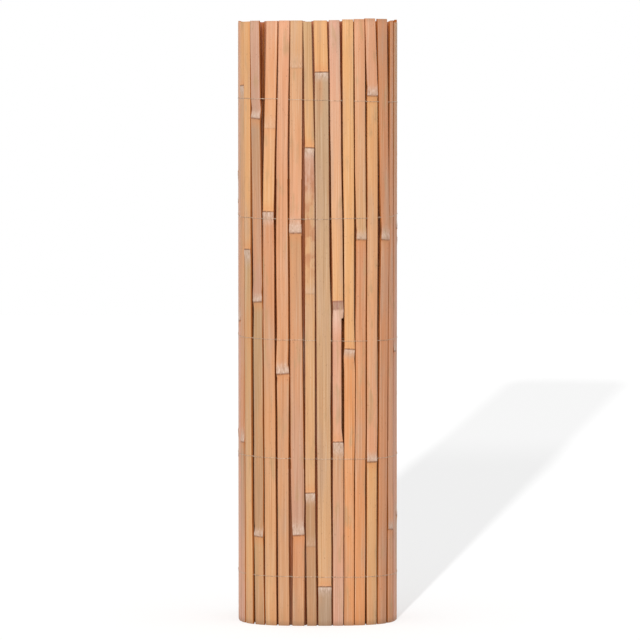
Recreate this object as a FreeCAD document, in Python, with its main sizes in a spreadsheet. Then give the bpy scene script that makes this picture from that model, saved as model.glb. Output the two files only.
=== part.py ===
"""Split-bamboo fence panel, rolled up and standing on its end.

Bamboo slats stand side by side and are held by level rows of wire, one strand in front of
the slats and one behind them. The panel is rolled into a loose, slightly square spiral with
its free outer edge at the back. Each slat of the outer turn is a piece of its own, with the
growth rings of the bamboo and a small kink at every ring. The slats of an inner turn form
one group of separate solids. Millimetres, +Z up, origin in the middle of the footprint.
"""

import FreeCAD
import Part
import Sketcher

import math
import os

# Each row holds a name, a value and what it is. Shares and counts have no unit.
DRIVING_SIZES = (
    ("panel_height", 1000, "length of the slats"),
    ("roll_width", 264, "outer turn from left to right, over the skins of the slats"),
    ("roll_depth", 250, "outer turn from front to back, over the skins of the slats"),
    ("squareness_ratio", 1.7, "exponent of the outer turn's outline over that of an ellipse"),
    ("outer_end_angle", 105.5, "place of the free outer edge, in degrees anticlockwise from the right"),
    ("turn_gap", 6.4, "room between one turn and the next"),
    ("slat_width", 18.6, "middling width of a slat"),
    ("slat_thickness", 4.4, "from the flat inner face to the crown of the skin"),
    ("slat_gap", 2.4, "middling gap between two slats of the outer turn"),
    ("packed_gap", 0.7, "gap between two slats of the inner turns, which lie closer"),
    ("culm_radius", 48, "radius of the bamboo's skin before it was split"),
    ("ring_rise", 1.0, "height of a growth ring above the skin"),
    ("ring_long_side", 15, "swelling on the side of a growth ring that slopes gently"),
    ("ring_short_side", 5, "swelling on the side of a growth ring that is steep"),
    ("end_unevenness", 6, "most by which the top end of a slat falls short"),
    ("wire_rows", 5, "rows of wire"),
    ("wire_diameter", 0.9, "one strand of wire"),
    ("wire_clearance", 0.15, "air between a strand and the slats that it holds"),
    ("bottom_wire_height", 81, "bottom row above the foot of the panel"),
    ("top_wire_margin", 134, "top row below the head of the panel"),
    ("wire_tail", 9, "wire that stands out past the free outer edge"),
)

# The slats that face forward, from left to right. A width is a share of slat_width, and a trim
# a share of end_unevenness. A lean is a shift to the right in shares of slat_gap, at the foot,
# at each growth ring and at the head. A ring has its height as a share of panel_height, its lean,
# and whether its gentle slope lies above it.
FORWARD_SLATS = (
    {"width": 1.00, "trim": 0.7, "foot": 0.0, "head": -0.5, "rings": ((0.50, -0.2, True),)},
    {"width": 0.96, "trim": 0.8, "foot": 0.2, "head": -1.2,
     "rings": ((0.30, -0.3, True), (0.89, -1.0, False))},
    {"width": 1.00, "trim": 0.8, "foot": 0.5, "head": -1.9, "rings": ((0.62, -1.2, False),)},
    {"width": 1.02, "trim": 0.6, "foot": 1.7, "head": -2.7,
     "rings": ((0.146, 0.9, True), (0.534, 0.2, True), (0.836, -1.6, True))},
    {"width": 1.08, "trim": 0.7, "foot": 1.0, "head": 1.9, "rings": ((0.683, -1.0, False),)},
    {"width": 1.00, "trim": 0.6, "foot": 0.8, "head": 1.1, "rings": ((0.416, -0.2, True),)},
    {"width": 1.10, "trim": 0.6, "foot": 1.4, "head": 0.3,
     "rings": ((0.15, 1.6, True), (0.648, -0.5, True))},
    {"width": 0.86, "trim": 0.9, "foot": 2.1, "head": -0.5,
     "rings": ((0.22, 1.0, False), (0.788, 0.6, False))},
    {"width": 1.20, "trim": 0.6, "foot": 2.1, "head": -1.2,
     "rings": ((0.065, 2.0, False), (0.912, -0.3, False))},
    {"width": 0.95, "trim": 0.5, "foot": 1.9, "head": -0.9,
     "rings": ((0.304, 1.8, False), (0.535, 1.6, False))},
    {"width": 0.90, "trim": 0.3, "foot": 1.1, "head": 0.5, "rings": ((0.457, 1.4, False),)},
    {"width": 0.97, "trim": 0.2, "foot": 0.3, "head": -0.3, "rings": ((0.637, 0.9, True),)},
    {"width": 1.03, "trim": 0.0, "foot": 0.1, "head": -1.2,
     "rings": ((0.27, -0.2, True), (0.873, 0.2, True))},
    {"width": 1.06, "trim": 0.1, "foot": 0.0, "head": -1.0, "rings": ((0.636, 1.8, True),)},
    {"width": 1.00, "trim": 0.7, "foot": 0.9, "head": 1.3, "rings": ((0.155, 1.0, True),)},
    {"width": 1.00, "trim": 1.0, "foot": 0.5, "head": 0.5, "rings": ((0.45, 0.6, True),)},
)
SLATS_BEFORE_FORWARD_ONES = 11

# Three plain slats stand in turn for the slats of the inner turns.
PLAIN_SLATS = (
    {"width": 0.94, "trim": 0.85, "rings": ()},
    {"width": 1.00, "trim": 0.7, "rings": ()},
    {"width": 1.06, "trim": 1.0, "rings": ()},
)

# How many slats each turn has, from the outer one inwards.
SLATS_IN_TURNS = (39, 38, 34, 30, 27, 23, 14)

SPIRAL_STEP = math.radians(0.5)
FULL_TURN = 2 * math.pi


def make_sheet(doc):
    """Spreadsheet of the driving dimensions, one named cell each."""
    sheet = doc.addObject("Spreadsheet::Sheet", "sizes")
    for row, (alias, value, note) in enumerate(DRIVING_SIZES, start=1):
        sheet.set(f"A{row}", alias)
        sheet.set(f"B{row}", str(value))
        sheet.setAlias(f"B{row}", alias)
        sheet.set(f"C{row}", note)
    doc.recompute()
    return sheet


class Sizes:
    """The sheet's values as attributes, with the few that follow from them."""

    def __init__(self, sheet):
        for alias, _, _ in DRIVING_SIZES:
            setattr(self, alias, float(sheet.get(alias)))
        self.wire_rows = round(self.wire_rows)
        self.turn_pitch = self.slat_thickness + self.turn_gap
        self.strand_offset = self.wire_clearance + self.wire_diameter / 2

    def wire_heights(self):
        room = self.panel_height - self.bottom_wire_height - self.top_wire_margin
        spacing = room / max(1, self.wire_rows - 1)
        return [self.bottom_wire_height + row * spacing for row in range(self.wire_rows)]


def scatter(number, salt):
    """An even spread of shares from 0 to 1 that looks irregular and is always the same."""
    return (1000 * math.sin(12.99 * number + 78.23 * salt)) % 1.0


class Spiral:
    """The line that the slats' inner faces follow, from the free outer edge inwards."""

    def __init__(self, sizes):
        self.sizes = sizes
        self.start = math.radians(sizes.outer_end_angle)

    def point(self, angle):
        sizes = self.sizes
        turn = (angle - self.start) / FULL_TURN
        half_width = sizes.roll_width / 2 - sizes.slat_thickness - (turn - 0.5) * sizes.turn_pitch
        half_depth = sizes.roll_depth / 2 - sizes.slat_thickness - (turn - 0.25) * sizes.turn_pitch
        exponent = 2 + 2 * (sizes.squareness_ratio - 1) / (1 + turn)
        across = abs(math.cos(angle) / half_width) ** exponent
        back = abs(math.sin(angle) / half_depth) ** exponent
        radius = (across + back) ** (-1 / exponent)
        return FreeCAD.Vector(radius * math.cos(angle), radius * math.sin(angle), 0)

    def advance(self, angle, distance):
        """The angle that lies this far along the spiral from the given one."""
        here = self.point(angle)
        while distance > 0:
            there = self.point(angle + SPIRAL_STEP)
            step = (there - here).Length
            if step >= distance:
                return angle + SPIRAL_STEP * distance / step
            distance -= step
            angle += SPIRAL_STEP
            here = there
        return angle


class Slat:
    """Where a slat stands in the roll, and how it is shaped."""

    def __init__(self, number, turn, sizes):
        self.number = number
        self.turn = turn
        self.sizes = sizes
        self.ringed = turn == 1
        forward = number - 1 - SLATS_BEFORE_FORWARD_ONES
        if not self.ringed:
            self.shape = PLAIN_SLATS[int(scatter(number, 3) * len(PLAIN_SLATS))]
        elif 0 <= forward < len(FORWARD_SLATS):
            self.shape = FORWARD_SLATS[forward]
        else:
            self.shape = self.irregular_shape()
        self.width = sizes.slat_width * self.shape["width"]

    def irregular_shape(self):
        """A slat that doesn't face forward: its form is scattered, not set by hand."""
        low_ring = 0.10 + 0.36 * scatter(self.number, 2)
        high_ring = low_ring + 0.38 + 0.10 * scatter(self.number, 3)
        upwards = scatter(self.number, 4) > 0.5
        leans = [0.8 * scatter(self.number, salt) - 0.4 for salt in (5, 6, 8, 9)]
        return {
            "width": round(0.92 + 0.16 * scatter(self.number, 1), 2),
            "trim": scatter(self.number, 7),
            "foot": leans[0],
            "rings": ((low_ring, leans[1], upwards), (high_ring, leans[2], upwards)),
            "head": leans[3],
        }

    def place(self, spiral, angle):
        behind = spiral.point(angle - SPIRAL_STEP)
        ahead = spiral.point(angle + SPIRAL_STEP)
        self.along = (ahead - behind).normalize()
        self.outwards = FreeCAD.Vector(self.along.y, -self.along.x, 0)
        self.middle = spiral.point(angle)

    def placement(self):
        up = FreeCAD.Vector(0, 0, 1)
        return FreeCAD.Placement(self.middle, FreeCAD.Rotation(self.along, -self.outwards, up, "ZXY"))

    def stations(self):
        """Sections from foot to head: height and rise as expressions, and the lean."""
        foot = {"height": "0", "rise": 0, "lean": self.shape["foot"]}
        head_height = f"sizes.panel_height - {self.shape['trim']:.2f} * sizes.end_unevenness"
        head = {"height": head_height, "rise": 0, "lean": self.shape["head"]}
        sections = [foot]
        for share, lean, upwards in self.shape["rings"]:
            below, above = ("short", "long") if upwards else ("long", "short")
            ring = f"sizes.panel_height * {share:.3f}"
            sections.append({"height": f"{ring} - sizes.ring_{below}_side", "rise": 0, "lean": lean})
            sections.append({"height": ring, "rise": 1, "lean": lean})
            sections.append({"height": f"{ring} + sizes.ring_{above}_side", "rise": 0, "lean": lean})
        return sections + [head]

    def rise_at(self, height):
        """How far a growth ring lifts the skin at this height."""
        for share, _, upwards in self.shape["rings"]:
            sides = (self.sizes.ring_short_side, self.sizes.ring_long_side)
            below, above = sides if upwards else reversed(sides)
            from_ring = height - share * self.sizes.panel_height
            side = above if from_ring > 0 else below
            if abs(from_ring) < side:
                return self.sizes.ring_rise * (1 - abs(from_ring) / side)
        return 0.0


def lay_slats(sizes):
    """All slats in their places, from the free outer edge inwards."""
    spiral = Spiral(sizes)
    slats = []
    angle = spiral.start
    for turn, count in enumerate(SLATS_IN_TURNS, start=1):
        for _ in range(count):
            slat = Slat(len(slats) + 1, turn, sizes)
            if slats:
                gap = sizes.slat_gap if slats[-1].ringed else sizes.packed_gap
                angle = spiral.advance(angle, slats[-1].width / 2 + gap + slat.width / 2)
            slat.place(spiral, angle)
            slats.append(slat)
    centre_footprint(slats, sizes)
    return slats


def centre_footprint(slats, sizes):
    """Shifts the roll so that its origin lies in the middle of its footprint."""
    crowns = [slat.middle + slat.outwards * sizes.slat_thickness for slat in slats if slat.ringed]
    box = FreeCAD.BoundBox()
    for crown in crowns:
        box.add(crown)
    for slat in slats:
        slat.middle = slat.middle - FreeCAD.Vector(box.Center.x, box.Center.y, 0)


def draw_split_section(body, name, width_share, rise):
    """Cross-section of a split culm: flat inner face, straight sides and a round skin."""
    sheet = body.Document.getObject("sizes")
    width = width_share * float(sheet.get("slat_width"))
    radius = float(sheet.get("culm_radius"))
    half_angle = math.asin(width / 2 / radius)
    depth = float(sheet.get("slat_thickness")) + rise * float(sheet.get("ring_rise"))
    side = depth - radius * (1 - math.cos(half_angle))
    inner = [FreeCAD.Vector(x, 0, 0) for x in (-width / 2, width / 2)]
    outer = [FreeCAD.Vector(x, -side, 0) for x in (-width / 2, width / 2)]
    culm = Part.Circle(FreeCAD.Vector(0, radius - depth, 0), FreeCAD.Vector(0, 0, 1), radius)
    downwards = -math.pi / 2
    skin = Part.ArcOfCircle(culm, downwards - half_angle, downwards + half_angle)

    sketch = body.newObject("Sketcher::SketchObject", name)
    plane = next(item for item in body.Origin.OriginFeatures if item.Role == "XY_Plane")
    sketch.AttachmentSupport = [(plane, "")]
    sketch.MapMode = "FlatFace"
    sketch.addGeometry([
        Part.LineSegment(inner[0], inner[1]),
        Part.LineSegment(inner[1], outer[1]),
        skin,
        Part.LineSegment(outer[0], inner[0]),
    ])
    sketch.addConstraint([
        Sketcher.Constraint("Coincident", 0, 2, 1, 1),
        Sketcher.Constraint("Coincident", 1, 2, 2, 2),
        Sketcher.Constraint("Coincident", 2, 1, 3, 1),
        Sketcher.Constraint("Coincident", 3, 2, 0, 1),
        Sketcher.Constraint("Horizontal", 0),
        Sketcher.Constraint("Vertical", 1),
        Sketcher.Constraint("Vertical", 3),
        Sketcher.Constraint("Symmetric", 0, 1, 0, 2, -1, 1),
    ])
    sizes_to_bind = (
        ("width", Sketcher.Constraint("DistanceX", 0, 1, 0, 2, width), f"sizes.slat_width * {width_share}"),
        ("skin", Sketcher.Constraint("Radius", 2, radius), "sizes.culm_radius"),
        ("side", Sketcher.Constraint("Distance", 1, side),
         f"sizes.slat_thickness + {rise} * sizes.ring_rise - sizes.culm_radius"
         f" + sqrt(sizes.culm_radius ^ 2 - (sizes.slat_width * {width_share} / 2) ^ 2)"),
    )
    for label, constraint, expression in sizes_to_bind:
        sketch.renameConstraint(sketch.addConstraint(constraint), label)
        sketch.setExpression(f"Constraints.{label}", expression)
    return sketch


def make_ringed_slat(doc, slat):
    """Slat of the outer turn: a loft through its ends and its growth rings."""
    name = f"slat_{slat.number:02d}"
    body = doc.addObject("PartDesign::Body", name)
    sections = []
    for count, station in enumerate(slat.stations()):
        sketch = draw_split_section(body, f"{name}_section_{count}", slat.shape["width"], station["rise"])
        sketch.setExpression("AttachmentOffset.Base.x", f"sizes.slat_gap * {station['lean']:.3f}")
        sketch.setExpression("AttachmentOffset.Base.z", station["height"])
        sections.append(sketch)
    loft = body.newObject("PartDesign::AdditiveLoft", f"{name}_loft")
    loft.Profile = sections[0]
    loft.Sections = sections[1:]
    loft.Ruled = True
    body.Placement = slat.placement()
    return body


def make_plain_slat(doc, kind, number):
    """One of the plain slats that the inner turns are made of."""
    name = f"plain_slat_{number}"
    body = doc.addObject("PartDesign::Body", name)
    pad = body.newObject("PartDesign::Pad", f"{name}_pad")
    pad.Profile = draw_split_section(body, f"{name}_section", kind["width"], 0)
    pad.setExpression("Length", f"sizes.panel_height - {kind['trim']} * sizes.end_unevenness")
    body.Tip = pad
    return body


def make_inner_turn(doc, turn, slats, plain_slats):
    """All slats of one inner turn, as a group of separate solids."""
    links = []
    for slat in slats:
        link = doc.addObject("App::Link", f"turn_{turn}_slat_{slat.number}")
        link.LinkedObject = plain_slats[PLAIN_SLATS.index(slat.shape)]
        link.Placement = slat.placement()
        links.append(link)
    group = doc.addObject("Part::Compound", f"turn_{turn}_slats")
    group.Links = links
    return group


def strand_points(slats, sizes, height, in_front):
    """Corners of a strand that passes over, or behind, the slats of the outer turn at this height."""
    points = []
    for left, right in zip(slats, slats[1:]):
        end_of_left = left.middle + left.along * left.width / 2
        start_of_right = right.middle - right.along * right.width / 2
        middle = (end_of_left + start_of_right) / 2
        outwards = (left.outwards + right.outwards).normalize()
        heights = []
        for slat in (left, right):
            face = sizes.slat_thickness + slat.rise_at(height) if in_front else 0.0
            wanted = face + sizes.strand_offset if in_front else -sizes.strand_offset
            missing = wanted - (middle - slat.middle).dot(slat.outwards)
            heights.append(missing / outwards.dot(slat.outwards))
        points.append(middle + outwards * (max(heights) if in_front else min(heights)))
    first = slats[0]
    over_skin = sizes.slat_thickness + first.rise_at(height) + sizes.strand_offset
    rise = over_skin if in_front else -sizes.strand_offset
    tail = first.middle - first.along * (first.width / 2 + sizes.wire_tail) + first.outwards * rise
    return [point + FreeCAD.Vector(0, 0, height) for point in [tail] + points]


def make_strand(doc, name, points):
    """Wire with a four-sided section, bent at each corner of its path."""
    path = doc.addObject("Part::Polygon", f"{name}_path")
    path.Nodes = points
    section = doc.addObject("Part::RegularPolygon", f"{name}_section")
    section.Polygon = 4
    section.setExpression("Circumradius", "sizes.wire_diameter / 2")
    turned = FreeCAD.Rotation(FreeCAD.Vector(0, 0, 1), points[1] - points[0])
    section.Placement = FreeCAD.Placement(points[0], turned)
    strand = doc.addObject("Part::Sweep", name)
    strand.Sections = [section]
    strand.Spine = path
    strand.Solid = True
    strand.Transition = "Right corner"
    return strand


def make_wire_row(doc, row, slats, sizes, height):
    """Front and back strand of one row, as a group of two solids."""
    strands = []
    for side in ("front", "back"):
        points = strand_points(slats, sizes, height, side == "front")
        strands.append(make_strand(doc, f"wire_row_{row}_{side}", points))
    group = doc.addObject("Part::Compound", f"wire_row_{row}")
    group.Links = strands
    return group


def make_panel(doc):
    """Builds every sub-part and returns those that are written to files."""
    sizes = Sizes(make_sheet(doc))
    slats = lay_slats(sizes)
    outer = [slat for slat in slats if slat.ringed]
    pieces = [make_ringed_slat(doc, slat) for slat in outer]
    plain_slats = [make_plain_slat(doc, kind, count) for count, kind in enumerate(PLAIN_SLATS, start=1)]
    for turn in range(2, len(SLATS_IN_TURNS) + 1):
        members = [slat for slat in slats if slat.turn == turn]
        pieces.append(make_inner_turn(doc, turn, members, plain_slats))
    held = slats[:len(outer) + 2]
    for row, height in enumerate(sizes.wire_heights(), start=1):
        pieces.append(make_wire_row(doc, row, held, sizes, height))
    doc.recompute()
    return pieces


def check_document(doc, pieces):
    failed = [item.Name for item in doc.Objects if {"Invalid", "Error"} & set(item.State)]
    if failed:
        raise RuntimeError(f"these objects failed: {failed}")
    for piece in pieces:
        if piece.Shape.isNull() or not piece.Shape.isValid() or not piece.Shape.Solids:
            raise RuntimeError(f"{piece.Label} has no valid solid")


def write_parts(pieces):
    os.makedirs("parts", exist_ok=True)
    for piece in pieces:
        piece.Shape.exportStep(f"parts/{piece.Label}.step")


document = FreeCAD.newDocument("bamboo_fence_roll")
panel_pieces = make_panel(document)
check_document(document, panel_pieces)
write_parts(panel_pieces)
print(f"{len(panel_pieces)} pieces, {sum(len(piece.Shape.Solids) for piece in panel_pieces)} solids")
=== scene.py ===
import math
import random

import bmesh
import bpy
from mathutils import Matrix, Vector, noise


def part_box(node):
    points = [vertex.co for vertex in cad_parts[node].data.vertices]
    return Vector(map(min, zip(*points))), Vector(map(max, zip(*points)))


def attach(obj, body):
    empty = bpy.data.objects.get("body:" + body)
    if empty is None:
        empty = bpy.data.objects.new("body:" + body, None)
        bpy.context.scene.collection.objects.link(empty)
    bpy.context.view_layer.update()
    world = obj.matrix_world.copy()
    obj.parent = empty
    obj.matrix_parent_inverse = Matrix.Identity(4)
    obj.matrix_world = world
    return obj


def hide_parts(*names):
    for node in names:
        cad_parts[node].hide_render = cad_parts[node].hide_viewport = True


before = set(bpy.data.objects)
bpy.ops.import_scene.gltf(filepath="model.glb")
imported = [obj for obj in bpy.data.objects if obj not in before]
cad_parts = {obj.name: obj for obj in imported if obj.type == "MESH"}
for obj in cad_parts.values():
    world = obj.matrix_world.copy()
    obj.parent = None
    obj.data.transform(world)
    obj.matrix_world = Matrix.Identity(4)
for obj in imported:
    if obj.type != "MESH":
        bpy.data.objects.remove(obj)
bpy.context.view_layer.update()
mm = 0.001
sameSpot = 0.01 * mm             # points closer than this count as one place
print("frame loaded:", len(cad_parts), "nodes")


# small helpers for working in object and edit mode

def deselectAll():
    if bpy.context.mode != "OBJECT":
        bpy.ops.object.mode_set(mode="OBJECT")
    bpy.ops.object.select_all(action="DESELECT")


def pickObject(piece):
    deselectAll()
    piece.select_set(True)
    bpy.context.view_layer.objects.active = piece


def editMode(piece):
    pickObject(piece)
    bpy.ops.object.mode_set(mode="EDIT")
    bpy.ops.mesh.select_mode(type="VERT")
    bpy.ops.mesh.select_all(action="DESELECT")


def selectVerts(piece, test):
    cage = bmesh.from_edit_mesh(piece.data)
    for vert in cage.verts:
        vert.select = test(vert.co)
    cage.select_flush_mode()
    bmesh.update_edit_mesh(piece.data)


def selectEdges(piece, test):
    cage = bmesh.from_edit_mesh(piece.data)
    for edge in cage.edges:
        edge.select_set(test(edge.verts[0].co, edge.verts[1].co))
    bmesh.update_edit_mesh(piece.data)


def cutAcross(height):
    bpy.ops.mesh.select_all(action="SELECT")
    bpy.ops.mesh.bisect(plane_co=(0, 0, height), plane_no=(0, 0, 1))


def toLinear(red, green, blue):
    shades = [value / 255 for value in (red, green, blue)]
    return tuple(shade / 12.92 if shade <= 0.04045 else ((shade + 0.055) / 1.055) ** 2.4
                 for shade in shades)


# tones of the bamboo skin
skinTones = {
    "honey": toLinear(230, 170, 112),
    "salmon": toLinear(228, 162, 122),
    "orange": toLinear(226, 153, 98),
    "tan": toLinear(216, 163, 114),
    "olive": toLinear(202, 158, 110),
    "oliveGrey": toLinear(195, 159, 123),
    "rose": toLinear(222, 162, 134),
    "roseGrey": toLinear(208, 159, 132),
    "mauve": toLinear(202, 149, 121),
    "brown": toLinear(214, 145, 101),
    "grey": toLinear(181, 148, 119),
    "dun": toLinear(192, 150, 106),
    "russet": toLinear(206, 150, 105),
    "clay": toLinear(215, 154, 110),
    "umber": toLinear(189, 141, 101),
}
markTones = {
    "paleRose": toLinear(232, 184, 160),
    "scarBrown": toLinear(164, 104, 84),
}
# darker, redder tones for the slats inside the roll: painted shade for the deep gaps between the outer
# slats
shadedInsideTones = {
    "shadedBrown": toLinear(184, 94, 44),
    "shadedTan": toLinear(192, 104, 52),
    "shadedRose": toLinear(178, 90, 46),
}

# tones of the slats that face forward, one pair for each length between growth rings,
# from foot to head, each pair from its lower to its upper end
forwardTones = {
    12: (("rose", "rose"), ("roseGrey", "salmon")),
    13: (("rose", "umber"), ("brown", "tan"), ("honey", "honey")),
    14: (("honey", "olive"), ("honey", "honey")),
    15: (("umber", "olive"), ("umber", "dun"), ("mauve", "umber"), ("mauve", "roseGrey")),
    16: (("tan", "brown"), ("honey", "salmon")),
    17: (("russet", "clay"), ("clay", "salmon")),
    18: (("russet", "brown"), ("mauve", "russet"), ("salmon", "tan")),
    19: (("umber", "umber"), ("tan", "tan"), ("honey", "olive")),
    20: (("grey", "grey"), ("tan", "oliveGrey"), ("honey", "honey")),
    21: (("rose", "russet"), ("salmon", "rose"), ("honey", "rose")),
    22: (("orange", "orange"), ("honey", "honey")),
    23: (("orange", "brown"), ("tan", "salmon")),
    24: (("tan", "honey"), ("salmon", "honey"), ("salmon", "salmon")),
    25: (("brown", "brown"), ("brown", "brown")),
    26: (("brown", "salmon"), ("salmon", "brown")),
    27: (("rose", "rose"), ("rose", "russet")),
}
# marks across a slat: share of height from and to, and tone
skinPatches = {
    19: ((0.735, 0.787, "roseGrey"),),
    21: ((0.524, 0.5385, "scarBrown"), (0.5, 0.524, "paleRose")),
}
# lengths with brown patches: share of height from and to
mottledLengths = {19: (0.6, 0.76)}

# growth rings whose own marks give way to a patch, by slat and height
quietRings = {21: 0.535}
quietReach = 10 * mm
quietStrength = 0.25
# faint growth rings that only mark the skin, by slat and share of its height
faintRings = {16: (0.823,), 18: (0.922,), 19: (0.551, 0.132)}
faintStrength = 0.28

innerSeedStart = 100             # the slats inside the roll count on from here
openSlats = {140, 141, 142}      # inner slats that show beside the panel's free edge
tightSlats = {11, 14, 18}        # these stand close to a neighbour and keep straight

# how far a slat's left and right edges stand out, or in below zero, by share of its height, in mm
edgeLines = {
    14: ((0.0, 0, 1.8), (0.12, 0, 1.8), (0.2, 0, 0)),
    17: ((0.25, 0, 0), (0.4, 0, 2.2), (0.5, 0.8, 1.0), (0.62, 2.6, -0.5), (0.78, 2.4, -2.2),
         (0.88, 1.2, -1.8), (1.0, 0, 0)),
    18: ((0.0, -0.6, 0), (0.12, -1.2, 0), (0.16, -0.8, 0), (0.2, 1.0, 0), (0.3, 1.8, 0),
         (0.42, 1.0, 0), (0.5, 0.4, 0), (0.6, 0, 0)),
    19: ((0.8, 0, 0), (0.9, 0, -1.6), (1.0, 0, -2.4)),
    20: ((0.36, 0, 0), (0.42, 0, 1.2), (0.52, 0, 1.8), (0.6, 0, 0)),
    21: ((0.294, 0, 0), (0.303, 0, -0.6), (0.328, 0, -3.2), (0.5085, 0, -3.0), (0.51, 0, 0)),
    22: ((0.25, 0, 0), (0.32, 0, 1.0), (0.42, 0, 1.0), (0.5, 0, 0), (0.66, 0, 0), (0.74, 1.4, 0),
         (1.0, 1.6, 0)),
    23: ((0.25, 0, 0), (0.32, -0.8, 0), (0.42, -0.8, 0), (0.5, 0, 0), (0.58, -1.0, 0),
         (0.66, -1.0, 0), (0.75, 0, 0)),
    24: ((0.0, -1.0, 0), (0.26, -1.2, 0.5), (0.34, -1.2, 2.2), (0.44, -1.2, 2.2), (0.5, -1.2, 1.0),
         (0.62, -1.2, 1.8), (0.75, -1.1, 1.5), (0.85, -0.6, 1.2), (0.9, -0.1, 0.8), (1.0, 0, 0)),
    25: ((0.45, 0, 0), (0.55, -1.0, 1.0), (0.62, -2.0, 2.5), (0.75, -1.5, 2.5), (0.9, -1.0, 3.0),
         (1.0, 0, 3.5)),
    26: ((0.35, 0, 0), (0.5, -1.0, -0.6), (0.62, -3.0, -1.1), (1.0, -6.0, -2.6)),
    27: ((0.35, 0, 0), (1.0, -1.6, -1.7)),
}


# where the CAD slats stand

sectionPoints = 6                # a whole section of a slat has at least as many
ringStep = 0.4 * mm              # at a growth ring the skin rises more than this


def readSlat(points):
    # a slat's foot gives its direction, and each of its levels a place and a skin height
    levels = {}
    for point in points:
        levels.setdefault(round(point.z, 5), set()).add((round(point.x, 6), round(point.y, 6)))
    heights = sorted(height for height in levels if len(levels[height]) >= sectionPoints)
    foot = [Vector(spot) for spot in levels[heights[0]]]
    centre = sum(foot, Vector((0, 0))) / len(foot)
    offsets = [spot - centre for spot in foot]
    sumX = sum(spot.x * spot.x for spot in offsets)
    sumY = sum(spot.y * spot.y for spot in offsets)
    sumXY = sum(spot.x * spot.y for spot in offsets)
    angle = 0.5 * math.atan2(2 * sumXY, sumX - sumY)
    along = Vector((math.cos(angle), math.sin(angle)))
    if Vector((along.y, -along.x)).dot(centre) < 0:
        along = -along
    outward = Vector((along.y, -along.x))
    stations = []
    for height in heights:
        across = [Vector(spot).dot(along) for spot in levels[height]]
        deep = [Vector(spot).dot(outward) for spot in levels[height]]
        stations.append({"height": height, "middle": (min(across) + max(across)) / 2,
                         "width": max(across) - min(across), "inner": min(deep), "crown": max(deep)})
    thin = min(station["crown"] for station in stations)
    rings = []
    for below, here, above in zip(stations, stations[1:], stations[2:]):
        if here["crown"] - thin > ringStep:
            upward = above["height"] - here["height"] > here["height"] - below["height"]
            rings.append({"height": here["height"], "upward": upward})
    return {"along": along, "outward": outward, "stations": stations, "rings": rings,
            "foot": heights[0], "head": heights[-1], "width": stations[0]["width"],
            "inner": stations[0]["inner"], "thickness": thin - stations[0]["inner"]}


def middleAt(plan, height):
    stations = plan["stations"]
    for low, high in zip(stations, stations[1:]):
        if height <= high["height"]:
            share = (height - low["height"]) / (high["height"] - low["height"])
            return low["middle"] + share * (high["middle"] - low["middle"])
    return stations[-1]["middle"]


def ringGap(plan, height):
    # distance to the nearest growth ring, above zero on its pale side, and how marked it is
    nearest = math.inf
    strength = 0.0
    for ring in plan["rings"] + plan.get("faint", []):
        gap = height - ring["height"] if ring["upward"] else ring["height"] - height
        if abs(gap) < abs(nearest):
            nearest = gap
            strength = ring.get("strength", 1.0)
    return nearest, strength


# the slat: one blank, copied and shaped for each place

slat = {
    "width": 18.6 * mm,
    "thickness": 4.4 * mm,
    "skinColumns": 8,
    "skinRounds": 2,             # segments in the rounding of the skin's edges
    "innerColumns": 4,           # for the plainer slats inside the roll
    "innerRounds": 1,
    "crown": 0.9 * mm,           # how far the round skin rises over its edges
    "outerEdge": 0.9 * mm,       # rounding of the skin's long edges
    "innerEdge": 0.4 * mm,
    "skinWrap": 0.25 * mm,       # how far the skin goes on past the crown
    "levelSpacing": 42 * mm,
    "levelRoom": 0.2,            # share of that spacing kept free beside other levels
    "wobble": 0.4 * mm,          # sideways unevenness along the slat
    "widthChange": 0.05,
    # noise for both: step from slat to slat, layer, and turns in a metre
    "wobbleNoise": (7.3, 0, 6),
    "widthNoise": (3.7, 5, 11),
    "tightShare": 0.2,           # how much of both is left to a tight slat
    "bow": 0.3 * mm,             # how far a slat bends in or out
    "twist": 2.2,                # degrees
    "shapeSeed": 31,             # keeps the draws for shape apart from those for tone
    "endChamfer": 0.5 * mm,
    "endTaper": (0.965, 0.9, 1),
    # growth ring seen from the side: distance from it in mm, and share of its rise
    "ringProfile": ((-5.0, 0.0), (-2.6, 0.25), (-1.3, 0.55), (-0.5, 0.95), (0.0, 0.6), (0.8, 0.42),
                    (2.2, 0.75), (3.4, 0.85), (5.2, 0.62), (8.0, 0.34), (11.5, 0.12), (15.0, 0.0)),
    "ringRise": 0.95 * mm,
    "ringFlare": 1.03,
    "ringTilt": 6,               # degrees
    "ringReach": 15.5 * mm,      # what tilts with a ring, above and below it
    "ringDepth": 0.45,           # share of the thickness that doesn't rise with it
    "ringCap": 80 * mm,          # past this distance a ring leaves no mark
    "endSlope": 0.8,             # how far a face looks up to be a sawn end
    "sideSlope": 0.75,           # and how far sideways to be a split side
    "smoothBelow": 38,           # degrees
}


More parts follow.
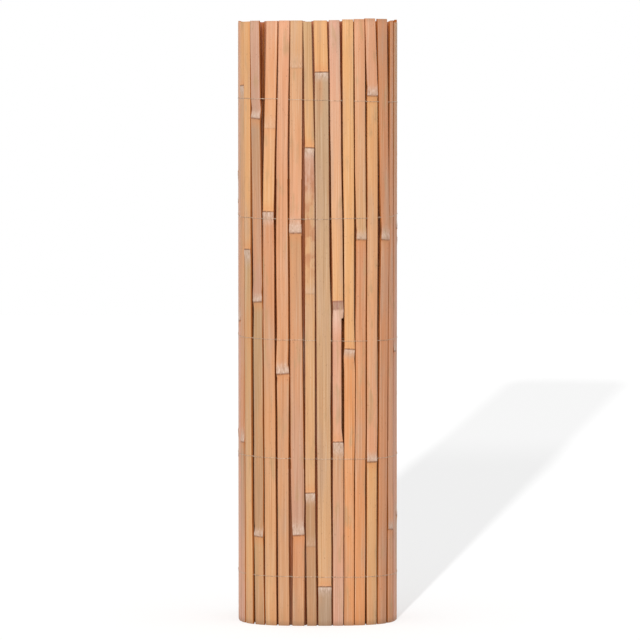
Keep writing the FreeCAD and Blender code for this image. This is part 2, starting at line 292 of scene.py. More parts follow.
def modelBlank(columns, rounds):
    width, thickness = slat["width"], slat["thickness"]
    bpy.ops.mesh.primitive_cube_add(size=1, location=(0, -0.5, 0.5))
    blank = bpy.context.active_object
    blank.name = "slatBlank"
    bpy.ops.object.transform_apply(location=True)
    blank.scale = (width, thickness, 1)
    bpy.ops.object.transform_apply(scale=True)
    editMode(blank)
    for column in range(1, columns):
        bpy.ops.mesh.select_all(action="SELECT")
        spot = width * (column / columns - 0.5)
        bpy.ops.mesh.bisect(plane_co=(spot, 0, 0), plane_no=(1, 0, 0))
    for column in range(columns + 1):
        spot = width * (column / columns - 0.5)
        selectVerts(blank, lambda co: co.y < -thickness / 2 and abs(co.x - spot) < sameSpot)
        fall = slat["crown"] * (2 * spot / width) ** 2
        bpy.ops.transform.translate(value=(0, fall, 0))
    bpy.ops.mesh.select_mode(type="EDGE")
    for outer, rounding in ((True, slat["outerEdge"]), (False, slat["innerEdge"])):
        def isCorner(one, other):
            upright = abs(one.z - other.z) > 0.5
            atSide = abs(one.x) > width / 2 - sameSpot
            return upright and atSide and (one.y < -thickness / 2) == outer
        selectEdges(blank, isCorner)
        bpy.ops.mesh.bevel(offset=rounding, segments=rounds if outer else 1, affect="EDGES")
    deselectAll()
    return blank


def slatLevels(plan, seed, fine):
    foot, head = plan["foot"], plan["head"]
    levels = [foot + slat["endChamfer"], head - slat["endChamfer"]]
    if not fine:
        return levels
    for ring in plan["rings"] + plan["faint"]:
        way = 1 if ring["upward"] else -1
        levels += [ring["height"] + way * step * mm for step, _ in slat["ringProfile"]]
    levels += [share * head for share, _, _ in edgeLines.get(seed, ()) if 0 < share < 1]
    count = int((head - foot) / slat["levelSpacing"])
    for step in range(1, count):
        height = foot + (head - foot) * step / count
        if all(abs(height - level) > slat["levelRoom"] * slat["levelSpacing"] for level in levels):
            levels.append(height)
    return sorted(levels)


def edgesAt(seed, share):
    line = edgeLines.get(seed, ((0, 0, 0), (1, 0, 0)))
    share = max(line[0][0], min(line[-1][0], share))
    for low, high in zip(line, line[1:]):
        if share <= high[0]:
            part = (share - low[0]) / (high[0] - low[0])
            return [(start + part * (end - start)) * mm for start, end in zip(low[1:], high[1:])]


def unevenness(kind, seed, height):
    step, layer, turns = slat[kind]
    return noise.noise(Vector((seed * step, layer, height * turns)))


def ringRise(plan, height):
    gap, strength = ringGap(plan, height)
    gap /= mm
    profile = slat["ringProfile"]
    for (start, low), (end, high) in zip(profile, profile[1:]):
        if start <= gap <= end:
            return strength * slat["ringRise"] * (low + (high - low) * (gap - start) / (end - start))
    return 0.0


def modelSlat(blank, name, plan, seed, fine=True):
    pickObject(blank)
    bpy.ops.object.duplicate()
    piece = bpy.context.active_object
    piece.name = name
    height = plan["head"] - plan["foot"]
    piece.scale = (plan["width"] / slat["width"], plan["thickness"] / slat["thickness"], height)
    piece.location = (0, 0, plan["foot"])
    bpy.ops.object.transform_apply(location=True, scale=True)

    editMode(piece)
    levels = slatLevels(plan, seed, fine)
    for level in levels:
        cutAcross(level)
    start = plan["stations"][0]["middle"]
    skinDepth = -slat["ringDepth"] * plan["thickness"]
    pick = random.Random(seed * slat["shapeSeed"])
    bow = pick.uniform(-1, 1) * slat["bow"]
    loose = slat["tightShare"] if seed in tightSlats else 1.0
    for level in [plan["foot"]] + levels + [plan["head"]]:
        sway = loose * unevenness("wobbleNoise", seed, level) * slat["wobble"] if fine else 0.0
        bend = bow * math.sin(math.pi * level / plan["head"])
        shift = middleAt(plan, level) - start + sway
        selectVerts(piece, lambda co: abs(co.z - level) < sameSpot)
        left, right = edgesAt(seed, level / plan["head"])
        shift += (right - left) / 2
        wider = 1 + loose * slat["widthChange"] * unevenness("widthNoise", seed, level)
        wider += (left + right) / plan["width"]
        bpy.ops.transform.resize(value=(wider, 1, 1), center_override=(0, 0, level))
        bpy.ops.transform.translate(value=(shift, bend, 0))
        if level in (plan["foot"], plan["head"]):
            centre = (shift, -plan["thickness"] / 2, level)
            bpy.ops.transform.resize(value=slat["endTaper"], center_override=centre)
        rise = ringRise(plan, level) if fine else 0.0
        if rise > sameSpot:
            flare = 1 + (slat["ringFlare"] - 1) * rise / slat["ringRise"]
            bpy.ops.transform.resize(value=(flare, 1, 1), center_override=(shift, 0, level))
            selectVerts(piece, lambda co: abs(co.z - level) < sameSpot and co.y < skinDepth)
            bpy.ops.transform.translate(value=(0, -rise, 0))
    deselectAll()
    finishSlat(piece, plan, seed)
    if fine:
        tiltRings(piece, plan, start, pick)
    pickObject(piece)
    spot = plan["along"] * start + plan["outward"] * plan["inner"]
    piece.location = (spot.x, spot.y, 0)
    twist = math.radians(pick.uniform(-1, 1) * slat["twist"])
    piece.rotation_euler = (0, 0, math.atan2(plan["along"].y, plan["along"].x) + twist)
    bpy.ops.object.transform_apply(location=True, rotation=True)
    return piece


def tiltRings(piece, plan, start, pick):
    # growth rings run slightly askew across the slat
    editMode(piece)
    for ring in plan["rings"]:
        angle = math.radians(pick.uniform(-1, 1) * slat["ringTilt"])
        centre = (middleAt(plan, ring["height"]) - start, 0, ring["height"])
        selectVerts(piece, lambda co: abs(co.z - ring["height"]) < slat["ringReach"])
        bpy.ops.transform.rotate(value=angle, orient_axis="Y", center_override=centre)
    deselectAll()


def toneAt(tones, plan, seed, height):
    for low, high, tone in skinPatches.get(seed, ()):
        if low * plan["head"] <= height < high * plan["head"]:
            return {**skinTones, **markTones}[tone]
    ends = [plan["foot"]] + [ring["height"] for ring in plan["rings"]] + [plan["head"]]
    above = sum(1 for ring in plan["rings"] if height > ring["height"])
    share = (height - ends[above]) / (ends[above + 1] - ends[above])
    lower, upper = (Vector({**skinTones, **shadedInsideTones}[tone]) for tone in tones[above])
    return tuple(lower.lerp(upper, max(0.0, min(1.0, share))))


def finishSlat(piece, plan, seed):
    # colour, ring distance and seed for the bamboo materials, then one material per kind of face
    mesh = piece.data
    pick = random.Random(seed)
    tones = forwardTones.get(seed)
    if tones is None:
        choice = list(skinTones if plan["rings"] or seed in openSlats else shadedInsideTones)
        # slats inside the roll take the tones with painted shade, except those beside the free edge
        tones = [(pick.choice(choice), pick.choice(choice)) for _ in range(len(plan["rings"]) + 1)]
    mesh.attributes.new("skinColour", "FLOAT_COLOR", "POINT")
    for mark in ("ringDistance", "ringSide", "ringStrength", "slatSeed", "mottle"):
        mesh.attributes.new(mark, "FLOAT", "POINT")
    colour, distance = mesh.attributes["skinColour"], mesh.attributes["ringDistance"]
    side, strength = mesh.attributes["ringSide"], mesh.attributes["ringStrength"]
    seedMark, mottle = mesh.attributes["slatSeed"], mesh.attributes["mottle"]
    low, high = mottledLengths.get(seed, (0, 0))
    share = pick.random()
    for vert in mesh.vertices:
        colour.data[vert.index].color = (*toneAt(tones, plan, seed, vert.co.z), 1)
        gap, marked = ringGap(plan, vert.co.z)
        strength.data[vert.index].value = marked
        distance.data[vert.index].value = min(slat["ringCap"], abs(gap))
        side.data[vert.index].value = 0 if abs(gap) < sameSpot else math.copysign(1, gap)
        seedMark.data[vert.index].value = share
        mottle.data[vert.index].value = 1 if low < vert.co.z / plan["head"] < high else 0
    for finish in (bambooSkin, bambooSplit, bambooEnd):
        mesh.materials.append(finish)
    edge = -(plan["thickness"] - slat["crown"]) + slat["skinWrap"]
    for face in mesh.polygons:
        if abs(face.normal.z) > slat["endSlope"]:
            face.material_index = 2
        elif face.center.y > edge or abs(face.normal.x) > slat["sideSlope"]:
            face.material_index = 1
    pickObject(piece)
    bpy.ops.object.shade_smooth_by_angle(angle=math.radians(slat["smoothBelow"]))


# materials, each made of noise on the object's own coordinates

def startMaterial(name):
    material = bpy.data.materials.new(name)
    material.use_nodes = True
    return material, material.node_tree, material.node_tree.nodes["Principled BSDF"]


def addNode(tree, kind, **settings):
    node = tree.nodes.new(kind)
    for key, value in settings.items():
        setattr(node, key, value)
    return node


def readAttribute(tree, name):
    return addNode(tree, "ShaderNodeAttribute", attribute_name=name)


grainStep = 60                   # how far the grain moves on from slat to slat
grainMiddle = 0.5                # it swings about this value


def grain(tree, scale, detail, seeded=True):
    # noise drawn out along the slat, different on each slat
    place = addNode(tree, "ShaderNodeTexCoord")
    stretch = addNode(tree, "ShaderNodeMapping")
    stretch.inputs["Scale"].default_value = scale
    tree.links.new(place.outputs["Object"], stretch.inputs["Vector"])
    texture = addNode(tree, "ShaderNodeTexNoise", noise_dimensions="4D")
    texture.inputs["Scale"].default_value = 1.0
    texture.inputs["Detail"].default_value = detail
    tree.links.new(stretch.outputs["Vector"], texture.inputs["Vector"])
    if seeded:
        turn = combine(tree, "MULTIPLY", readAttribute(tree, "slatSeed").outputs["Fac"], grainStep)
        tree.links.new(turn, texture.inputs["W"])
    return texture.outputs["Fac"]


def combine(tree, operation, first, second):
    node = addNode(tree, "ShaderNodeMath", operation=operation)
    for socket, value in zip(node.inputs, (first, second)):
        if isinstance(value, (int, float)):
            socket.default_value = value
        else:
            tree.links.new(value, socket)
    return node.outputs[0]


def remap(tree, value, low, high, start=0.0, end=1.0, smooth=True):
    node = addNode(tree, "ShaderNodeMapRange", interpolation_type="SMOOTHSTEP" if smooth else "LINEAR")
    tree.links.new(value, node.inputs["Value"])
    for name, number in (("From Min", low), ("From Max", high), ("To Min", start), ("To Max", end)):
        node.inputs[name].default_value = number
    return node.outputs["Result"]


def blend(tree, share, under, over, how="MIX"):
    node = addNode(tree, "ShaderNodeMix", data_type="RGBA", blend_type=how)
    # the numbers are the mix node's own for a share and two colours
    for index, value in ((0, share), (6, under), (7, over)):
        if isinstance(value, tuple):
            node.inputs[index].default_value = (*value, 1)
        else:
            tree.links.new(value, node.inputs[index])
    return node.outputs[2]


def ownPlace(tree):
    # where a point lies in the object's own frame
    place = addNode(tree, "ShaderNodeSeparateXYZ")
    tree.links.new(addNode(tree, "ShaderNodeTexCoord").outputs["Object"], place.inputs[0])
    return place.outputs


def addBump(tree, shader, height, depth, strength):
    bump = addNode(tree, "ShaderNodeBump")
    bump.inputs["Strength"].default_value = strength
    bump.inputs["Distance"].default_value = depth
    tree.links.new(height, bump.inputs["Height"])
    tree.links.new(bump.outputs["Normal"], shader.inputs["Normal"])


skinLook = {
    # grain: its scale across, through and along the slat, and its detail
    "fibres": ((330, 330, 3), 3),
    "fineFibres": ((1700, 1700, 9), 2),
    "blotches": ((45, 45, 7), 4),
    "clouds": ((85, 85, 22), 5),
    "specks": ((700, 700, 260), 1),
    "flecks": ((420, 420, 130), 3),
    "spots": ((95, 95, 48), 4),
    "ragged": ((160, 160, 25), 3),
    "greyed": toLinear(190, 156, 132),
    "warm": toLinear(222, 146, 90),
    "mossy": toLinear(186, 148, 104),
    "spot": toLinear(190, 120, 78),
    "bloom": toLinear(208, 178, 156),
    "wax": toLinear(230, 206, 190),
    "smudge": toLinear(166, 132, 112),
    "scar": toLinear(126, 78, 52),
    "ends": toLinear(150, 112, 84),
    "fibreTint": (0.62, 0.5, 0.4),
    "fineTint": (0.9, 0.72, 0.52),
    # how a tone comes in: grain from and to, and its share from and to
    "greyedRamp": (0.48, 0.72, 0, 0.5),
    "warmRamp": (0.5, 0.28, 0, 0.4),
    "mossyRamp": (0.54, 0.72, 0, 0.6),
    "spotRamp": (0.44, 0.58, 0, 0.65),
    "fibreRamp": (0.5, 0.72, 0, 0.45),
    "fineRamp": (0.5, 0.3, 0, 0.3),
    "waxRamp": (0.52, 0.64, 0, 1),
    "smudgeRamp": (0.46, 0.34, 0, 0.7),
    "scarRamp": (0.36, 0.56, 0.45, 1),
    "speckRamp": (0.68, 0.74, 0, 0.4),
    # the same by distance from a growth ring, and by the side of it
    "raggedReach": 2.2 * mm,
    "ringWarmth": (22 * mm, 1 * mm, 0, 0.45),
    "ringBloom": (24 * mm, 4 * mm, 0, 0.75),
    "ringScar": (2.1 * mm, 0.4 * mm, 0, 0.75),
    "ringSide": (0.2, 0.8),
    "bloomReach": (0, 1, 0.6, 1.3),   # by the slat's seed
    # and by height
    "footRamp": (11 * mm, 0, 0, 0.5),
    "headRamp": (990 * mm, 1000 * mm, 0, 0.25),
    "roughness": (0.3, 0.7, 0.46, 0.64),
    "gloss": 0.35,
    "fineBump": 0.5,             # share of the fine fibres in the relief
    "bump": (0.4 * mm, 0.6),     # depth and strength
}


def ringColour(tree, colour):
    # a growth ring is warm on one side and has a pale bloom on the other, with a scar between
    look = skinLook
    distance = readAttribute(tree, "ringDistance").outputs["Fac"]
    side = readAttribute(tree, "ringSide").outputs["Fac"]
    strength = readAttribute(tree, "ringStrength").outputs["Fac"]
    seed = readAttribute(tree, "slatSeed").outputs["Fac"]
    ragged = combine(tree, "SUBTRACT", grain(tree, *look["ragged"]), grainMiddle)
    gap = combine(tree, "ADD", distance, combine(tree, "MULTIPLY", ragged, look["raggedReach"]))
    start, end = look["ringSide"]
    paleSide = combine(tree, "MULTIPLY", remap(tree, side, start, end), strength)
    warmSide = combine(tree, "MULTIPLY", remap(tree, side, -start, -end), strength)
    warmth = combine(tree, "MULTIPLY", remap(tree, gap, *look["ringWarmth"]), warmSide)
    colour = blend(tree, warmth, colour, look["warm"])
    reach = combine(tree, "MULTIPLY", gap, remap(tree, seed, *look["bloomReach"], smooth=False))
    bloom = combine(tree, "MULTIPLY", remap(tree, reach, *look["ringBloom"]), paleSide)
    flecks = grain(tree, *look["flecks"])
    wax = blend(tree, remap(tree, flecks, *look["waxRamp"]), look["bloom"], look["wax"])
    wax = blend(tree, remap(tree, flecks, *look["smudgeRamp"]), wax, look["smudge"])
    colour = blend(tree, bloom, colour, wax)
    away = combine(tree, "ABSOLUTE", gap, 0)
    scar = combine(tree, "MULTIPLY", remap(tree, away, *look["ringScar"]), strength)
    scar = combine(tree, "MULTIPLY", scar, remap(tree, flecks, *look["scarRamp"]))
    return blend(tree, scar, colour, look["scar"])


def makeSkin():
    material, tree, shader = startMaterial("bambooSkin")
    look = skinLook
    fibres = grain(tree, *look["fibres"])
    fine = grain(tree, *look["fineFibres"])
    blotches = grain(tree, *look["blotches"])
    clouds = grain(tree, *look["clouds"])
    specks = grain(tree, *look["specks"])
    colour = readAttribute(tree, "skinColour").outputs["Color"]
    colour = blend(tree, remap(tree, blotches, *look["greyedRamp"]), colour, look["greyed"])
    colour = blend(tree, remap(tree, blotches, *look["warmRamp"]), colour, look["warm"])
    colour = blend(tree, remap(tree, clouds, *look["mossyRamp"]), colour, look["mossy"])
    spots = remap(tree, grain(tree, *look["spots"]), *look["spotRamp"])
    spots = combine(tree, "MULTIPLY", spots, readAttribute(tree, "mottle").outputs["Fac"])
    colour = blend(tree, spots, colour, look["spot"])
    colour = blend(tree, remap(tree, fibres, *look["fibreRamp"]), colour, look["fibreTint"], "MULTIPLY")
    colour = blend(tree, remap(tree, fine, *look["fineRamp"]), colour, look["fineTint"], "SCREEN")
    colour = ringColour(tree, colour)
    colour = blend(tree, remap(tree, specks, *look["speckRamp"]), colour, look["scar"])

    height = ownPlace(tree)["Z"]
    foot = remap(tree, height, *look["footRamp"])
    head = remap(tree, height, *look["headRamp"])
    colour = blend(tree, combine(tree, "ADD", foot, head), colour, look["ends"])
    tree.links.new(colour, shader.inputs["Base Color"])
    tree.links.new(remap(tree, fibres, *look["roughness"]), shader.inputs["Roughness"])
    shader.inputs["Specular IOR Level"].default_value = look["gloss"]
    relief = combine(tree, "ADD", fibres, combine(tree, "MULTIPLY", fine, look["fineBump"]))
    addBump(tree, shader, relief, *look["bump"])
    return material


splitLook = {
    "fibres": ((900, 900, 5), 4),
    "broad": ((60, 60, 6), 3),
    # dark, reddened colours: painted shade for the split sides deep in the gaps, with broad darker
    # patches
    "pale": toLinear(192, 116, 60),
    "dark": toLinear(126, 58, 24),
    "stain": toLinear(156, 84, 42),
    "darkRamp": (0.42, 0.7, 0, 0.75),
    "stainRamp": (0.4, 0.7, 0, 0.45),
    "roughness": (0.3, 0.7, 0.65, 0.85),
    "gloss": 0.1,
    "bump": (0.6 * mm, 0.7),
}


def makeSplit():
    # the raw faces where the cane was split, in dark reddish browns that paint the shade of the gaps
    # between slats; the fibre pattern is the cane's own
    material, tree, shader = startMaterial("bambooSplit")
    look = splitLook
    fibres = grain(tree, *look["fibres"])
    broad = grain(tree, *look["broad"])
    colour = blend(tree, remap(tree, fibres, *look["darkRamp"]), look["pale"], look["dark"])
    colour = blend(tree, remap(tree, broad, *look["stainRamp"]), colour, look["stain"])
    tree.links.new(colour, shader.inputs["Base Color"])
    tree.links.new(remap(tree, fibres, *look["roughness"]), shader.inputs["Roughness"])
    shader.inputs["Specular IOR Level"].default_value = look["gloss"]
    addBump(tree, shader, fibres, *look["bump"])
    return material


endLook = {
    "vessels": ((1500, 1500, 60), 1),
    "broad": ((240, 240, 60), 3),
    "pale": toLinear(190, 146, 104),
    "dark": toLinear(104, 66, 42),
    "worn": toLinear(150, 108, 74),
    "darkRamp": (0.5, 0.64, 0, 0.8),
    "wornRamp": (0.45, 0.7, 0, 0.5),
    "roughness": (0.3, 0.7, 0.7, 0.9),
    "gloss": 0.2,
    "bump": (0.4 * mm, 0.6),
}


def makeEnd():
    # sawn ends, dotted with cut vessels
    material, tree, shader = startMaterial("bambooEnd")
    look = endLook
    vessels = grain(tree, *look["vessels"])
    broad = grain(tree, *look["broad"])
    colour = blend(tree, remap(tree, vessels, *look["darkRamp"]), look["pale"], look["dark"])
    colour = blend(tree, remap(tree, broad, *look["wornRamp"]), colour, look["worn"])
    tree.links.new(colour, shader.inputs["Base Color"])
    tree.links.new(remap(tree, broad, *look["roughness"]), shader.inputs["Roughness"])
    shader.inputs["Specular IOR Level"].default_value = look["gloss"]
    addBump(tree, shader, vessels, *look["bump"])
    return material


wireLook = {
    "patches": ((420, 420, 420), 3),
    "pits": ((2600, 2600, 2600), 2),
    "bright": toLinear(214, 190, 166),
    "dull": toLinear(160, 130, 104),
    "dullRamp": (0.42, 0.66, 0, 1),
    "metal": 0.7,
    "roughness": (0.3, 0.7, 0.42, 0.6),
    "bump": (0.05 * mm, 0.5),
}


def makeGalvanised():
    material, tree, shader = startMaterial("galvanisedWire")
    look = wireLook
    patches = grain(tree, *look["patches"], seeded=False)
    pits = grain(tree, *look["pits"], seeded=False)
    colour = blend(tree, remap(tree, patches, *look["dullRamp"]), look["bright"], look["dull"])
    tree.links.new(colour, shader.inputs["Base Color"])
    shader.inputs["Metallic"].default_value = look["metal"]
    tree.links.new(remap(tree, patches, *look["roughness"]), shader.inputs["Roughness"])
    addBump(tree, shader, pits, *look["bump"])
    return material


bambooSkin = makeSkin()
bambooSplit = makeSplit()
bambooEnd = makeEnd()
galvanised = makeGalvanised()
print("materials made")


# the outer turn, slat by slat

def nodePoints(node):
    return [node.matrix_world @ vert.co for vert in node.data.vertices]


blankSlat = modelBlank(slat["skinColumns"], slat["skinRounds"])
outerNames = sorted(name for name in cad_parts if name.startswith("slat_"))
outerPlans = [readSlat(nodePoints(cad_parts[name])) for name in outerNames]
for number, (name, plan) in enumerate(zip(outerNames, outerPlans), 1):
    for ring in plan["rings"]:
        isQuiet = number in quietRings and abs(ring["height"] - quietRings[number]) < quietReach
        ring["strength"] = quietStrength if isQuiet else 1.0
    plan["faint"] = [{"height": share * plan["head"], "upward": True, "strength": faintStrength}
                     for share in faintRings.get(number, ())]
    piece = modelSlat(blankSlat, "outer" + name.title().replace("_", ""), plan, number)
    plan["piece"] = piece
    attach(piece, "root")
    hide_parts(name)
print("outer slats made:", len(outerPlans))


# the turns inside, one piece to a turn

def edgeSpot(plan, share):
    across = plan["stations"][0]["middle"] + share * plan["width"]
    return plan["along"] * across + plan["outward"] * plan["inner"]


def readTurn(node):
    # the slats of one turn, taken from a merged copy of its node
    pickObject(node)
    bpy.ops.object.duplicate()
    copy = bpy.context.active_object
    editMode(copy)
    bpy.ops.mesh.select_all(action="SELECT")
    bpy.ops.mesh.remove_doubles(threshold=sameSpot / 2)
    bpy.ops.mesh.separate(type="LOOSE")
    bpy.ops.object.mode_set(mode="OBJECT")
    parts = list(bpy.context.selected_objects)
    plans = [readSlat(nodePoints(part)) for part in parts]
    bpy.ops.object.delete()
    return plans


def inOrder(plans, last):
    # each next slat starts where the one before it ends
    left, ordered = list(plans), []
    while left:
        end = edgeSpot(last, 0.5)
        last = min(left, key=lambda plan: (edgeSpot(plan, -0.5) - end).length)
        left.remove(last)
        ordered.append(last)
    return ordered


plainBlank = modelBlank(slat["innerColumns"], slat["innerRounds"])
allPlans = list(outerPlans)
turnNames = sorted(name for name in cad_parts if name.startswith("turn_"))
for name in turnNames:
    plans = inOrder(readTurn(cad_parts[name]), allPlans[-1])
    pieces = []
    for plan in plans:
        allPlans.append(plan)
        seed = innerSeedStart + len(allPlans)
        pieces.append(modelSlat(plainBlank, "innerSlat", plan, seed, fine=False))
    deselectAll()
    for piece in pieces:
        piece.select_set(True)
    bpy.context.view_layer.objects.active = pieces[0]
    bpy.ops.object.join()
    turn = bpy.context.active_object
    turn.name = "innerTurn" + name.split("_")[1]
    for plan in plans:
        plan["piece"] = turn
    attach(turn, "root")
    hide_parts(name)
for blank in (blankSlat, plainBlank):
    bpy.data.objects.remove(blank)
print("inner turns made:", len(allPlans) - len(outerPlans), "slats")


# the wire that ties the slats: two strands that change sides in each gap

wire = {
    "radius": 0.4 * mm,
    "clearance": 0.08 * mm,
    "frontEdge": 1.45 * mm,      # aims the strand round a slat's edges
    "backEdge": 2.2 * mm,
    # where a strand rests between those edges, as shares of half the slat's width
    "rests": (-0.88, -0.6, 0, 0.6, 0.88),
    "reach": 5.5 * mm,           # how far off a slat's faces are looked for
    "gapReach": 1.1 * mm,        # the same for its sides
    "twistRoom": 1.05,           # how many radii off the middle two strands pass each other
    "innerClearance": 0.5 * mm,
    "overlap": 2,                # slats of the next turn that the outer rows tie too
    "tail": 9 * mm,
    "tailTurns": 1.5,
    "tailSteps": 12,
    "unevenness": 0.9 * mm,      # how far a row strays up and down
    "strayNoise": (0.9, 50, 3),  # step from slat to slat, turns in a metre, and layer
    # how far a row falls to the right and to the front
    "lean": {1: (0.01, 0), 2: (0.012, 0.03), 3: (0.016, 0.025), 4: (-0.005, 0.05), 5: (0.025, 0)},
    # how far its middle lies above the CAD row
    "lift": {1: 0, 2: 2.5 * mm, 3: 1 * mm, 4: 7.5 * mm, 5: 0},
    "sides": 2,                  # curve bevel resolution
    "innerSides": 0,
    "smoothBelow": 60,           # degrees
}


def spotOn(plan, across, outward, height):
    flat = plan["along"] * (middleAt(plan, height) + across)
    flat += plan["outward"] * (plan["inner"] + outward)
    return Vector((flat.x, flat.y, height))


def heightAt(row, place, plan):
    # a row strays and leans, so its height changes from slat to slat
    step, turns, layer = wire["strayNoise"]
    stray = wire["unevenness"] * noise.noise(Vector((place * step, row["height"] * turns, layer)))
    spot = spotOn(plan, 0, 0, row["height"])
    right, front = wire["lean"][row["number"]]
    level = row["height"] + wire["lift"][row["number"]]
    return level + stray - right * spot.x + front * spot.y


def sidesAt(plan, height):
    # the two split sides of a slat as it was modelled
    sides = []
    for side in (-1, 1):
        edge = spotOn(plan, side * plan["width"] / 2, plan["thickness"] / 2, height)
        along = side * Vector((*plan["along"], 0))
        found, spot, _, _ = plan["piece"].ray_cast(edge + along * wire["gapReach"], -along)
        sides.append(spot if found else edge)
    return sides


def crossPoints(plan, height, front):
    # lay the strand on the slat as it was modelled, and round its two edges
    left, right = sidesAt(plan, height)
    half = (right - left).length / 2
    edge = half - (wire["frontEdge"] if front else wire["backEdge"])
    outward = Vector((*plan["outward"], 0)) * (1 if front else -1)
    along = Vector((*plan["along"], 0))
    rests = [(share * half, 0) for share in wire["rests"]]
    points = []
    for across, slant in [(-edge, -1)] + rests + [(edge, 1)]:
        way = (outward + slant * along).normalized()
        start = (left + right) / 2 + along * across + way * wire["reach"]
        found, spot, _, _ = plan["piece"].ray_cast(start, -way)
        if found:
            points.append(spot + way * (wire["radius"] + wire["clearance"]))
    return points


def strandPath(plans, row, first):
    lift = wire["twistRoom"] * wire["radius"]
    points = []
    for place, plan in enumerate(plans):
        front = (place % 2 == 0) == first
        height = heightAt(row, place, plan)
        points += crossPoints(plan, height, front)
        if place + 1 < len(plans):
            follower = plans[place + 1]
            right = sidesAt(plan, height)[1]
            left = sidesAt(follower, heightAt(row, place + 1, follower))[0]
            points.append((right + left) / 2 + Vector((0, 0, lift if front else -lift)))
    return points


def tailPath(plan, row, first):
    # the twisted loose end beside the panel's free edge
    height = heightAt(row, 0, plan)
    spread = wire["twistRoom"] * wire["radius"]
    points = []
    for step in range(wire["tailSteps"], 0, -1):
        share = step / wire["tailSteps"]
        angle = 2 * math.pi * wire["tailTurns"] * share + (0 if first else math.pi)
        reach = -plan["width"] / 2 - share * wire["tail"]
        out = plan["thickness"] / 2 + spread * math.cos(angle)
        spot = spotOn(plan, reach, out, height)
        points.append(spot + Vector((0, 0, spread * math.sin(angle))))
    return points


def innerPath(plans, height, outside):
    # a plain strand along one side of the slats inside the roll, from gap to gap
    off = wire["radius"] + wire["innerClearance"]
    points = []
    for plan, follower in zip(plans, plans[1:]):
        out = plan["thickness"] + off if outside else -off
        end = spotOn(plan, plan["width"] / 2, out, height)
        start = spotOn(follower, -follower["width"] / 2, out, height)
        points.append((end + start) / 2)
    return points


def layWire(name, paths, sides):
    curve = bpy.data.curves.new(name, "CURVE")
    curve.dimensions = "3D"
    curve.bevel_depth = wire["radius"]
    curve.bevel_resolution = sides
    curve.use_fill_caps = True
    for path in paths:
        spline = curve.splines.new("POLY")
        spline.points.add(len(path) - 1)
        for point, spot in zip(spline.points, path):
            point.co = (*spot, 1)
    piece = bpy.data.objects.new(name, curve)
    bpy.context.scene.collection.objects.link(piece)
    pickObject(piece)
    bpy.ops.object.convert(target="MESH")
    piece = bpy.context.active_object
    piece.data.materials.clear()
    piece.data.materials.append(galvanised)
    bpy.ops.object.shade_smooth_by_angle(angle=math.radians(wire["smoothBelow"]))
    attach(piece, "root")
    return piece


outerHeld = allPlans[:len(outerPlans) + wire["overlap"]]
innerHeld = allPlans[len(outerHeld) - 1:]
innerPaths = []
for name in sorted(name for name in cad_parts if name.startswith("wire_row")):
    low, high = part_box(name)
    row = {"number": int(name[-1]), "height": (low[2] + high[2]) / 2}
    paths = []
    for first in (True, False):
        paths.append(tailPath(outerHeld[0], row, first) + strandPath(outerHeld, row, first))
    piece = layWire("wireRow" + name[-1], paths, wire["sides"])
    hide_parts(name)
    innerPaths += [innerPath(innerHeld, row["height"], outside) for outside in (True, False)]
layWire("innerWires", innerPaths, wire["innerSides"])
print("wires made")


# floor, light and camera

studio = {
    "floor": (0.5, 0.5, 0.5),
    "floorSize": 20,
    "floorRoughness": 0.9,
    # a glow, near and far, that lifts the floor to white in the picture only; it is weaker near the
    # roll, which paints the shadow darker there and paler farther off
    "floorGlow": (0.526, 0.586),
    "glowFrom": (2.9, 4.0),      # where the painted darker shadow near the roll ends and the paler far part starts
    "world": 0.68,
    "key": 1.68,                 # lights all but the floor
    "keyFrom": (-0.95, -3.9, 2.4),
    "keyAngle": 45,              # degrees
    "shadowLamp": 58,            # lights the floor alone, for the long pale shadow
    "shadowFrom": (-1.914, -15.37, 3.538),
    "shadowRadius": 0.12,
    "camera": (0.004, -7.5, 0.885),
    "aim": (0.004, -0.122, 0.505),
    "lens": 252.8,
    "sensor": 36,
}


def seenRays(tree):
    # one for rays that carry the picture, whether straight, mirrored or through glass
    path = addNode(tree, "ShaderNodeLightPath")
    seen = combine(tree, "MAXIMUM", path.outputs["Is Camera Ray"], path.outputs["Is Glossy Ray"])
    return combine(tree, "MAXIMUM", seen, path.outputs["Is Transmission Ray"])


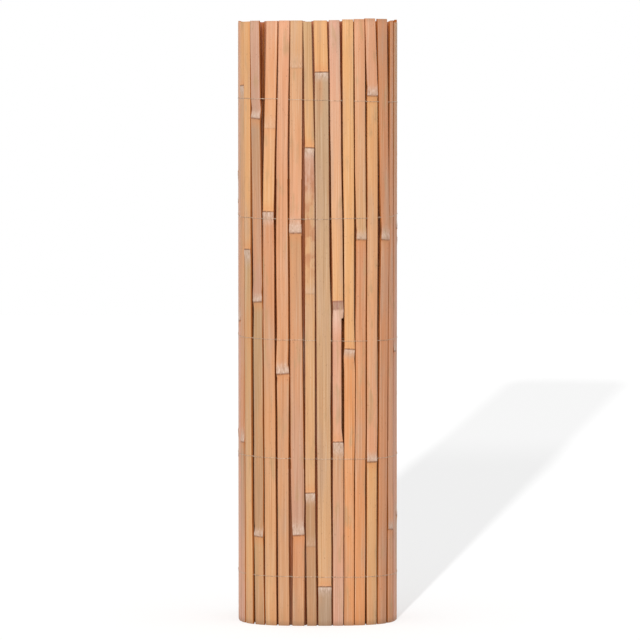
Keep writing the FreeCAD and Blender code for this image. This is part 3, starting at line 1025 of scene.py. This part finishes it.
def makeFloor():
    deselectAll()
    bpy.ops.mesh.primitive_plane_add(size=studio["floorSize"], location=(0, 0, 0))
    floor = bpy.context.active_object
    floor.name = "studioFloor"
    material, tree, shader = startMaterial("paleFloor")
    shader.inputs["Base Color"].default_value = (*studio["floor"], 1)
    shader.inputs["Roughness"].default_value = studio["floorRoughness"]
    shader.inputs["Specular IOR Level"].default_value = 0.0
    shader.inputs["Emission Color"].default_value = (1, 1, 1, 1)
    # the glow is weaker near the roll, painted shade that darkens the near part of the floor's shadow
    glowAndShade = remap(tree, ownPlace(tree)["Y"], *studio["glowFrom"], *studio["floorGlow"])
    tree.links.new(combine(tree, "MULTIPLY", seenRays(tree), glowAndShade), shader.inputs["Emission Strength"])
    floor.data.materials.append(material)
    return floor


def addKeySun():
    bpy.ops.object.light_add(type="SUN", location=studio["keyFrom"])
    sun = bpy.context.active_object
    sun.name = "keySun"
    sun.data.energy = studio["key"]
    sun.data.angle = math.radians(studio["keyAngle"])
    sun.rotation_euler = (-Vector(studio["keyFrom"])).to_track_quat("-Z", "Y").to_euler()
    return sun


def addShadowLamp():
    # a lamp whose light doesn't fade with distance, so that its shadow widens on an even floor
    bpy.ops.object.light_add(type="POINT", location=studio["shadowFrom"])
    lamp = bpy.context.active_object
    lamp.name = "shadowLamp"
    lamp.data.energy = studio["shadowLamp"]
    lamp.data.shadow_soft_size = studio["shadowRadius"]
    lamp.data.use_nodes = True
    tree = lamp.data.node_tree
    fading = addNode(tree, "ShaderNodeLightFalloff")
    fading.inputs["Strength"].default_value = 1.0
    tree.links.new(fading.outputs["Constant"], tree.nodes["Emission"].inputs["Strength"])
    return lamp


def makeLight(floor):
    world = bpy.data.worlds.new("studioWorld")
    bpy.context.scene.world = world
    world.use_nodes = True
    tree = world.node_tree
    background = tree.nodes["Background"]
    background.inputs["Color"].default_value = (1, 1, 1, 1)
    tree.links.new(remap(tree, seenRays(tree), 0, 1, studio["world"], 1.0, smooth=False),
                   background.inputs["Strength"])
    for lamp, state in ((addKeySun(), "EXCLUDE"), (addShadowLamp(), "INCLUDE")):
        lit = bpy.data.collections.new(lamp.name + "Floor")
        lit.objects.link(floor)
        lit.collection_objects[0].light_linking.link_state = state
        lamp.light_linking.receiver_collection = lit


def makeCamera():
    bpy.ops.object.camera_add(location=studio["camera"])
    camera = bpy.context.active_object
    camera.name = "studioCamera"
    camera.data.sensor_width = studio["sensor"]
    camera.data.lens = studio["lens"]
    aim = Vector(studio["aim"]) - Vector(studio["camera"])
    camera.rotation_euler = aim.to_track_quat("-Z", "Y").to_euler()
    bpy.context.scene.camera = camera


makeLight(makeFloor())
makeCamera()
bpy.context.scene.view_settings.view_transform = "Standard"
print("studio made")
